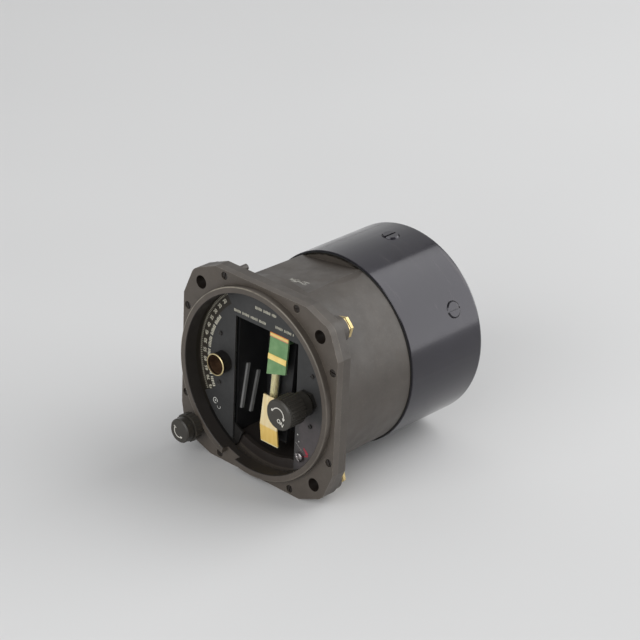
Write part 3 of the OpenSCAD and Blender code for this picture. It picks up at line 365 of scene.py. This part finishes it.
def clip_brass():
    """Lacquered brass: pale above the bend, deeper gold on the pull tab, which is painted brighter to make
    up for the light its downward face lacks, and a painted highlight at its end.
    """
    m = Mat("clip_brass", 0.36, metallic=0.1)
    height = m.coordinates()[2]
    fine = m.spread(m.noise(700, 5, 0.6, m.stretch((1, 1, 0.15))), 0.35, 0.65)
    # Painted light: the tab faces down, so its gold is painted brighter to make up for the light it lacks
    tab = m.mix(fine, srgb(246, 206, 112), srgb(252, 216, 130))
    # Painted highlight along the lower end of the tab
    tab = m.mix(m.zone(height, TAB_END + 0.2, TAB_END + 0.6), srgb(248, 236, 196), tab)
    upper = m.mix(fine, srgb(238, 212, 154), srgb(246, 230, 188))
    m.colour(m.mix(m.zone(height, TAB_TOP - 0.3, TAB_TOP + 0.3), tab, upper))
    m.roughness(m.spread(m.noise(400, 4, 0.6), 0.3, 0.7, 0.28, 0.46))
    m.bump(fine, 0.1, 0.01)
    return m.mat


def card_print():
    """Green printed card with paper fibres and a paler worn edge."""
    m = Mat("green_card", 0.62)
    body = m.mix(m.spread(m.noise(260, 5, 0.6), 0.3, 0.7), srgb(100, 142, 94), srgb(128, 164, 116))
    m.colour(m.mix(m.product(m.edges(0.2), 0.6), body, srgb(176, 196, 160)))
    m.bump(m.noise(2600, 4, 0.7, m.stretch((1, 1, 4))), 0.4, 0.02)
    return m.mat


def strip_print():
    """Amber on the lower strip; salmon, yellow, orange and brick red, going up, on the upper one."""
    m = Mat("marker_print", 0.6)
    height = m.coordinates()[2]
    amber = m.mix(m.spread(m.noise(500, 4), 0.3, 0.7), srgb(250, 214, 122), srgb(255, 230, 150))
    band = m.mix(m.zone(height, 14.9, 15.1), srgb(232, 150, 120), srgb(250, 220, 140))
    band = m.mix(m.zone(height, 15.8, 16.2), band, srgb(236, 132, 52))
    band = m.mix(m.zone(height, 17.2, 18.0), band, srgb(218, 116, 78))
    m.colour(m.mix(m.zone(height, 10.5, 11.0), amber, band))
    m.bump(m.noise(2600, 4, 0.7), 0.3, 0.02)
    return m.mat


def clear_glass():
    """Clear glass with slight waves."""
    m = Mat("clear_glass", 0.04)
    m.bsdf.inputs["Base Color"].default_value = (0.97, 0.98, 0.96, 1.0)
    m.bsdf.inputs["Transmission Weight"].default_value = 1.0
    m.bsdf.inputs["IOR"].default_value = 1.48
    m.bump(m.noise(90, 2), 0.05, 0.05)
    return m.mat


MATS = {
    "screw_black": enamel("blackened_steel", srgb(38, 36, 34), srgb(120, 116, 110), rough=0.4, wear=0.6),
    "screw_brown": enamel("sunk_screw_brown", srgb(34, 28, 24), srgb(96, 86, 76), rough=0.5, wear=0.3),
    "bush_black": enamel("blackened_brass", srgb(36, 35, 33), srgb(120, 104, 70), rough=0.42, wear=0.5),
    "pocket": enamel("pocket_enamel", srgb(27, 27, 28), srgb(70, 70, 70), rough=0.5, wear=0.3),
    "rack": enamel("rack_enamel", srgb(30, 30, 31), srgb(70, 70, 70), rough=0.5, wear=0.3),
    "knob": enamel("knob_moulding", srgb(55, 52, 47), srgb(118, 114, 106), rough=0.4, wear=0.75, grain=3600),
    "brass": metal("brass", srgb(196, 166, 100), srgb(96, 72, 40), rough=0.36, amount=0.6),
    "nut_brass": metal("pale_nut_brass", srgb(208, 188, 136), srgb(122, 100, 64), rough=0.42, amount=0.45),
    "steel": metal("steel", srgb(170, 170, 168), srgb(90, 84, 76), rough=0.34, amount=0.35),
    "silver": metal("bright_screw", srgb(160, 155, 155), srgb(84, 76, 74), rough=0.3, amount=0.5),
    "alloy": metal("frame_alloy", srgb(150, 151, 150), srgb(96, 96, 94), rough=0.45, amount=0.3),
    "tin": metal("tinned_sheet", srgb(168, 170, 168), srgb(110, 104, 92), rough=0.4, amount=0.3),
    "copper": metal("copper_pipe", srgb(190, 120, 84), srgb(92, 56, 38), rough=0.38, amount=0.5),
    "gauze": metal("brown_gauze", srgb(104, 80, 60), srgb(66, 50, 38), rough=0.55, amount=0.6, metallic=0.3),
    "rail": plain("rail_paint", srgb(128, 128, 127), rough=0.5, vary=0.14),
    "rubber": plain("rubber", srgb(36, 32, 30), rough=0.78, vary=0.12),
    "gasket": plain("gasket", srgb(18, 18, 18), rough=0.8, vary=0.1),
    "gel": plain("indicating_gel", srgb(250, 232, 176), rough=0.7, vary=0.12, grain=1400, depth=0.08,
                 scale=900),
    "lettering": plain("cream_paint", srgb(200, 196, 178), rough=0.55, vary=0.16, scale=1500),
    "white_mark": plain("white_paint", srgb(212, 209, 200), rough=0.5, vary=0.12, scale=1500),
    "red_mark": plain("red_sealing_paint", srgb(158, 52, 66), rough=0.42, vary=0.2, scale=1200),
    "label": plain("old_label_paint", srgb(196, 196, 190), rough=0.6, vary=0.3, scale=900),
    "flange": flange_enamel(),
    "case": case_enamel(),
    "rim": rim_brass(),
    "dial": dial_enamel(),
    "band": scale_enamel(),
    "socket": socket_moulding(),
    "cover": gloss_cover(),
    "clip": clip_brass(),
    "card": card_print(),
    "strips": strip_print(),
    "glass": clear_glass(),
}

# The nodes that each material covers
FINISH = {
    "flange": ("bezel_ring",),
    "case": ("front_case",),
    "screw_brown": ("bezel_screws",),
    "screw_black": ("dial_screws",),
    "nut_brass": ("anchor_nuts",),
    "gasket": ("seam_gasket",),
    "cover": ("rear_cover", "cover_screws"),
    "dial": ("dial_plate",),
    "band": ("scale_sector",),
    "silver": ("adjust_screw",),
    "knob": ("set_knob", "valve_knob"),
    "bush_black": ("set_bush", "valve_bush"),
    "socket": ("inlet_socket",),
    "rim": ("inlet_rim",),
    "gauze": ("inlet_gauze",),
    "pocket": ("tube_pocket",),
    "rail": ("guide_rails",),
    "rack": ("tube_rack",),
    "card": ("colour_card",),
    "strips": ("marker_strips",),
    "glass": ("detector_tube",),
    "gel": ("detector_gel",),
    "clip": ("tube_clip",),
    "rubber": ("tube_head", "tube_foot"),
    "brass": ("rear_union", "union_nut", "dial_posts", "set_pinion", "valve_end_cap"),
    "steel": ("set_shaft", "valve_shaft", "frame_screws", "frame_pillars", "pillar_nuts", "tie_rods"),
    "alloy": ("valve_body", "frame_plate", "bulkhead", "rear_ring", "canister_ring"),
    "tin": ("filter_canister", "canister_cap"),
    "copper": ("inlet_pipe", "head_pipe", "cross_pipe", "suction_pipe"),
}
for finish, covered in FINISH.items():
    for node in covered:
        for material_slot in NODES[node].material_slots:
            material_slot.material = MATS[finish]


# Marks on the faces

# They are thin raised shapes, drawn in millimetres and degrees as seen from the front.
# LIFT is how far a mark stands proud of its face, and SUNK how far it reaches into it.
LIFT = 0.03
SUNK = 0.02


def face_point(x, z, y):
    """A point drawn at (x, z) on a face at the depth y."""
    return Vector((x, y, z)) * MM


def polar(cx, cz, r, angle):
    """The point at a distance and an angle from (cx, cz)."""
    a = math.radians(angle)
    return cx + r * math.cos(a), cz + r * math.sin(a)


def add_slab(bm, outline, y, lift=LIFT):
    """A closed thin shape: outline points (x, z) on a face at y, proud of it by lift."""
    front = [bm.verts.new(face_point(x, z, y - lift)) for x, z in outline]
    back = [bm.verts.new(face_point(x, z, y + SUNK)) for x, z in outline]
    bm.faces.new(front)
    bm.faces.new(back[::-1])
    for k in range(len(outline)):
        bm.faces.new([back[k - 1], back[k], front[k], front[k - 1]])


def arc_band(cx, cz, r, width, start, end, steps=28):
    """Outline of a band along an arc."""
    angles = [start + (end - start) * k / steps for k in range(steps + 1)]
    outer = [polar(cx, cz, r + width / 2, angle) for angle in angles]
    inner = [polar(cx, cz, r - width / 2, angle) for angle in angles]
    return outer + inner[::-1]


def radial_tick(cx, cz, r0, r1, angle, width):
    """Outline of a stroke from r0 to r1 on the ray from (cx, cz) at an angle."""
    a = math.radians(angle)
    along = Vector((math.cos(a), math.sin(a)))
    side = Vector((-along.y, along.x)) * width / 2
    near = Vector((cx, cz)) + along * r0
    far = Vector((cx, cz)) + along * r1
    return [tuple(near - side), tuple(far - side), tuple(far + side), tuple(near + side)]


def upright_bar(x, z, width, height):
    """Outline of a bar with its middle at (x, z)."""
    w, h = width / 2, height / 2
    return [(x - w, z - h), (x + w, z - h), (x + w, z + h), (x - w, z + h)]


def disc(cx, cz, r, steps=20):
    return [polar(cx, cz, r, 360 * k / steps) for k in range(steps)]


def arrow_head(cx, cz, r, angle, length, width, way):
    """A triangle at the end of an arc, pointing along it; way is 1 for counter-clockwise."""
    a = math.radians(angle)
    along = Vector((-math.sin(a), math.cos(a))) * way
    out = Vector((math.cos(a), math.sin(a)))
    c = Vector((cx, cz)) + out * r
    return [tuple(c + along * length), tuple(c - out * width / 2), tuple(c + out * width / 2)]


def add_words(bm, words, cx, cz, y, size, turn):
    """A plain number or word as raised letters, with its middle at (cx, cz) and turned by turn."""
    curve = bpy.data.curves.new("words", "FONT")
    curve.body = words
    curve.size = size * MM
    curve.align_x = "CENTER"
    curve.align_y = "CENTER"
    curve.extrude = (LIFT + SUNK) / 2 * MM
    # The strokes grow by this much to each side
    curve.offset = 0.05 * MM
    curve.resolution_u = 4
    holder = bpy.data.objects.new("words", curve)
    bpy.context.scene.collection.objects.link(holder)
    bpy.context.view_layer.update()
    mesh = bpy.data.meshes.new_from_object(holder.evaluated_get(bpy.context.evaluated_depsgraph_get()))
    placed = (Matrix.Translation(face_point(cx, cz, y + (SUNK - LIFT) / 2))
              @ Matrix.Rotation(math.radians(-turn), 4, "Y") @ Matrix.Rotation(math.pi / 2, 4, "X"))
    mesh.transform(placed)
    bm.from_mesh(mesh)
    bpy.data.objects.remove(holder)
    bpy.data.meshes.remove(mesh)
    bpy.data.curves.remove(curve)


def finish_marks(name, bm, material, body):
    """Make one piece of the shapes drawn so far, and let it ride on its body."""
    mesh = bpy.data.meshes.new(name)
    # The faces of letters aren't joined to their sides, and some of them turn backwards here
    bmesh.ops.recalc_face_normals(bm, faces=bm.faces)
    bm.to_mesh(mesh)
    bm.free()
    mesh.materials.append(MATS[material])
    piece = bpy.data.objects.new(name, mesh)
    bpy.context.scene.collection.objects.link(piece)
    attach(piece, body)
    return piece


def valve_knob_marks():
    """A dot, an arc arrow and ON, on the face of the valve knob."""
    arc_r, arc_end = 2.95, -6
    dot_x, dot_z = polar(VALVE_X, VALVE_Z, r=3.3, angle=157)
    bm = bmesh.new()
    add_slab(bm, arc_band(VALVE_X, VALVE_Z, arc_r, width=0.42, start=150, end=arc_end), VALVE_FACE)
    add_slab(bm, disc(dot_x, dot_z, r=0.5), VALVE_FACE)
    add_slab(bm, arrow_head(VALVE_X, VALVE_Z, arc_r, arc_end, length=1.3, width=1.5, way=-1), VALVE_FACE)
    add_words(bm, "ON", VALVE_X + 1.3, VALVE_Z - 2.7, VALVE_FACE, size=2.3, turn=-27)
    finish_marks("valve_knob_marks", bm, "white_mark", "valve")


def set_knob_marks():
    """An arc arrow with a short stroke across its other end, on the face of the setting knob."""
    arc_r, arc_start, arc_end = 2.6, 150, 292
    bm = bmesh.new()
    add_slab(bm, arc_band(SET_X, SET_Z, arc_r, width=0.36, start=arc_start, end=arc_end), SET_FACE)
    add_slab(bm, arrow_head(SET_X, SET_Z, arc_r, arc_end, length=1.0, width=1.2, way=1), SET_FACE)
    add_slab(bm, radial_tick(SET_X, SET_Z, arc_r - 0.7, arc_r + 0.7, arc_start, width=0.4), SET_FACE)
    finish_marks("set_knob_marks", bm, "white_mark", "setter")


def scale_numbers():
    """Fine outer ticks and plain numbers on the scale band, seen through the curved window."""
    first_angle, number_step, numbers, ticks_each = 108, 6.6, 18, 5
    tick_in, tick_out, number_r = 35.5, 36.4, 33.9
    bm = bmesh.new()
    for k in range(numbers * ticks_each):
        angle = first_angle + number_step / ticks_each * k
        add_slab(bm, radial_tick(0, 0, tick_in, tick_out, angle, width=0.2), BAND_FACE)
    for k in range(numbers):
        angle = first_angle + number_step * k
        x, z = polar(0, 0, number_r, angle)
        add_words(bm, str(k * ticks_each), x, z, BAND_FACE, size=2.1, turn=angle - 90)
    finish_marks("scale_numbers", bm, "lettering", "scale")


def dial_bars():
    """Plain bars in the place of each line of lettering, along the curved window and on the top."""
    bm = bmesh.new()
    # Along the window, where every eighth place stays bare, as between words
    arc_in, arc_out, first_angle, arc_step, arc_bars = 29.9, 31.35, 145, 1.36, 46
    for k in range(arc_bars):
        if k % 8 != 7:
            end = arc_out - (0.3 if k % 3 == 1 else 0)
            add_slab(bm, radial_tick(0, 0, arc_in, end, first_angle + arc_step * k, width=0.42), DIAL_FACE)
    # The straight rows: left end, right end, height on the dial and height of the bars
    rows = ((-17.8, 0.1, 23.4, 1.1), (4.3, 14.1, 24.0, 1.1), (-6.6, 4.7, 28.3, 1.2))
    pitch, bar_width = 0.62, 0.3
    for x0, x1, z, tall in rows:
        count = int((x1 - x0) / pitch)
        for k in range(count):
            if k % 7 != 6:
                x = x0 + (x1 - x0) * (k + 0.5) / count
                height = tall - (0.24 if k % 3 == 2 else 0)
                add_slab(bm, upright_bar(x, z, bar_width, height), DIAL_FACE)
    finish_marks("dial_graduation", bm, "lettering", "case")


def dial_label():
    """Traces of an old label low on the dial, and two specks and a scratch on its right leg."""
    bm = bmesh.new()
    add_slab(bm, arc_band(-26.6, -19.6, r=1.15, width=0.34, start=-20, end=300, steps=14), DIAL_FACE)
    add_slab(bm, arc_band(-24.6, -21.6, r=0.9, width=0.2, start=180, end=380, steps=12), DIAL_FACE)
    add_slab(bm, disc(-26.5, -19.5, r=0.4, steps=10), DIAL_FACE)
    add_slab(bm, disc(18.1, -16.7, r=0.3, steps=9), DIAL_FACE)
    add_slab(bm, disc(18.8, -19.5, r=0.28, steps=9), DIAL_FACE)
    scratch = [(16.9, -20.05), (17.0, -20.2), (20.9, -23.15), (20.85, -23.05)]
    add_slab(bm, scratch, DIAL_FACE)
    finish_marks("dial_label", bm, "label", "case")


def red_seal():
    """Red sealing paint beside the adjusting screw: an uneven splash and a short stroke."""
    # The splash is a leaning oval with lobes
    splash_x, splash_z = ADJUST_X + 2.9, ADJUST_Z + 2.9
    points = 26
    splash = []
    for k in range(points):
        a = 2 * math.pi * k / points
        r = 1 + 0.22 * math.sin(3 * a + 0.7) + 0.12 * math.sin(7 * a)
        x = r * (1.045 * math.cos(a) - 0.6 * math.sin(a))
        z = r * (1.33 * math.sin(a) - 0.5 * math.cos(a))
        splash.append((splash_x + x, splash_z + z))
    stroke = radial_tick(ADJUST_X, ADJUST_Z, r0=2.3, r1=4.4, angle=22, width=0.55)
    bm = bmesh.new()
    add_slab(bm, splash, DIAL_FACE, lift=0.08)
    add_slab(bm, stroke, DIAL_FACE, lift=0.07)
    finish_marks("red_seal", bm, "red_mark", "case")


def adjust_dome():
    """Domed head of the adjusting screw, with its slot."""
    head_r, dome_height = 1.95, 0.45
    slot_half, slot_angle = 0.38, math.radians(-60)
    steps, around = 5, 32
    bm = bmesh.new()
    rings = []
    for k in range(steps + 1):
        t = math.pi / 2 * k / steps
        raised = dome_height * math.sin(t) - SUNK
        ring = []
        for i in range(around):
            x, z = polar(0, 0, head_r * math.cos(t), 360 * i / around)
            across = abs(x * math.sin(slot_angle) - z * math.cos(slot_angle))
            depth = ADJUST_FACE - raised if across > slot_half else ADJUST_FACE + SUNK
            ring.append(bm.verts.new(face_point(ADJUST_X + x, ADJUST_Z + z, depth)))
        rings.append(ring)
    for lower, upper in zip(rings, rings[1:]):
        for i in range(around):
            bm.faces.new([lower[i - 1], lower[i], upper[i], upper[i - 1]])
    bm.faces.new(rings[0][::-1])
    bmesh.ops.remove_doubles(bm, verts=bm.verts, dist=1e-6)
    dome = finish_marks("adjust_dome", bm, "silver", "case")
    for face in dome.data.polygons:
        face.use_smooth = True


valve_knob_marks()
set_knob_marks()
scale_numbers()
dial_bars()
dial_label()
red_seal()
adjust_dome()


# Floor, light and camera

FLOOR_Z = min(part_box(name)[0].z for name in NODES)
floor_mesh = bpy.data.meshes.new("floor")
bm = bmesh.new()
bmesh.ops.create_grid(bm, x_segments=24, y_segments=24, size=3.0)
bm.to_mesh(floor_mesh)
bm.free()
floor = bpy.data.objects.new("floor", floor_mesh)
floor.location = (0, 0, FLOOR_Z)
bpy.context.scene.collection.objects.link(floor)
paper = Mat("floor_paper", 0.75, specular=0.3)
cloud = paper.spread(paper.noise(3, 2), 0.3, 0.7)
paper.colour(paper.mix(cloud, srgb(216, 216, 216), srgb(220, 220, 220)))
paper.bump(paper.noise(500, 2), 0.05, 0.1)
floor_mesh.materials.append(paper.mat)

world = bpy.data.worlds.new("soft_studio")
bpy.context.scene.world = world
world.use_nodes = True
world.node_tree.nodes["Background"].inputs["Color"].default_value = (0.98, 0.99, 1.0, 1.0)
world.node_tree.nodes["Background"].inputs["Strength"].default_value = 0.32


def soft_panel(name, azimuth, elevation, distance, width, height, radiance):
    """A rectangular soft light, azimuth from +X towards +Y, facing the object."""
    a, e = math.radians(azimuth), math.radians(elevation)
    place = Vector((math.cos(a) * math.cos(e), math.sin(a) * math.cos(e), math.sin(e))) * distance
    light = bpy.data.lights.new(name, "AREA")
    light.shape = "RECTANGLE"
    light.size, light.size_y = width, height
    light.energy = radiance * math.pi * width * height
    lamp = bpy.data.objects.new(name, light)
    lamp.location = place
    lamp.rotation_euler = (-place).to_track_quat("-Z", "Y").to_euler()
    bpy.context.scene.collection.objects.link(lamp)


soft_panel("panel_back_right", azimuth=59, elevation=30, distance=1.3, width=1.5, height=1.8, radiance=2.3)
soft_panel("panel_back_left", azimuth=142, elevation=26, distance=1.4, width=1.5, height=1.4, radiance=0.4)
soft_panel("panel_front", azimuth=-80, elevation=26, distance=1.3, width=1.3, height=1.0, radiance=2.6)

# The camera as solved from the photograph. The focal length and the picture's width are in pixels,
# and the distance, the shifts and the sensor's width in millimetres.
FOCAL, PICTURE = 2528.0, 640.0
AZIMUTH, ELEVATION, ROLL = math.radians(42.31), math.radians(26.34), math.radians(2.58)
DISTANCE, SHIFT_X, SHIFT_Y = 963.8, 23.98, 23.98
SENSOR = 36.0
level = math.cos(ELEVATION)
back = Vector((math.sin(AZIMUTH) * level, -math.cos(AZIMUTH) * level, math.sin(ELEVATION)))
right = Vector((math.cos(AZIMUTH), math.sin(AZIMUTH), 0))
up = back.cross(right)
right_rolled = right * math.cos(ROLL) + up * math.sin(ROLL)
up_rolled = up * math.cos(ROLL) - right * math.sin(ROLL)
lens = bpy.data.cameras.new("camera")
lens.sensor_width = SENSOR
lens.lens = FOCAL * SENSOR / PICTURE
lens.clip_start, lens.clip_end = 0.05, 20.0
camera = bpy.data.objects.new("camera", lens)
axes = Matrix((right_rolled, up_rolled, back)).transposed().to_4x4()
spot = (back * DISTANCE + right_rolled * SHIFT_X + up_rolled * SHIFT_Y) * MM
camera.matrix_world = Matrix.Translation(spot) @ axes
bpy.context.scene.collection.objects.link(camera)
bpy.context.scene.camera = camera
bpy.context.scene.view_settings.view_transform = "Standard"
